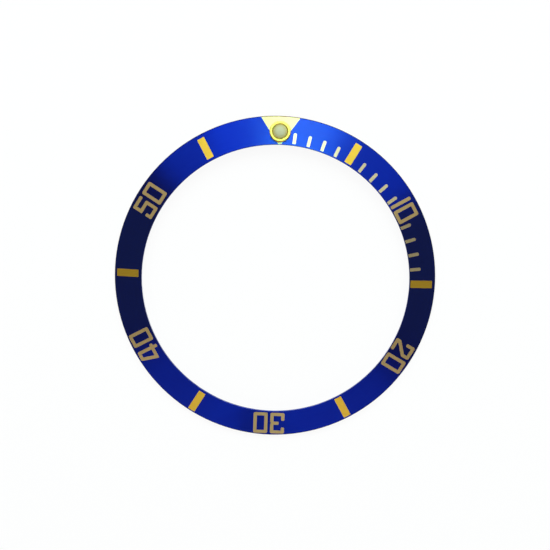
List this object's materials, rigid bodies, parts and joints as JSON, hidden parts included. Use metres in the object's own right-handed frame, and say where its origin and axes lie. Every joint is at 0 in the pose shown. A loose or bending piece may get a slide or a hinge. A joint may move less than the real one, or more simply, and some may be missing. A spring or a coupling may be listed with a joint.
{
  "type": "watch bezel insert",
  "caption": "Conical ring insert for a diver's watch bezel, with a blue face, gold bars, ticks, numerals and triangle, and a luminous pearl.",
  "frame": {"origin": "on the ring's axis, in the plane of the flat under the rim that the ring rests on", "axes": "+Z along the ring's axis, out of the coloured face; +Y towards the pearl at twelve o'clock; +X towards three o'clock"},
  "size_m": [0.0375, 0.0374, 0.0013],
  "materials": {
    "gold_metal": "gold anodised, fine turned",
    "blue_face": "blue anodised over concentric brushing, satin",
    "gold_mark": "gold anodised, satin",
    "pearl_gold": "gold plated, polished",
    "lume": "matt luminous compound",
    "lens": "clear, polished dome"
  },
  "bodies": {
    "root": {"insert_ring": "gold_metal", "blue_coat": "blue_face", "zero_triangle": "gold_mark", "bar_05": "gold_mark", "bar_15": "gold_mark", "bar_25": "gold_mark", "bar_35": "gold_mark", "bar_45": "gold_mark", "bar_55": "gold_mark", "tick_01": "gold_mark", "tick_02": "gold_mark", "tick_03": "gold_mark", "tick_04": "gold_mark", "tick_06": "gold_mark", "tick_07": "gold_mark", "tick_08": "gold_mark", "tick_09": "gold_mark", "tick_11": "gold_mark", "tick_12": "gold_mark", "tick_13": "gold_mark", "tick_14": "gold_mark", "numeral_10": "gold_mark", "numeral_20": "gold_mark", "numeral_30": "gold_mark", "numeral_40": "gold_mark", "numeral_50": "gold_mark", "pearl_cup": "pearl_gold", "pearl_lume": "lume", "pearl_lens": "lens"}
  },
  "joints": []
}
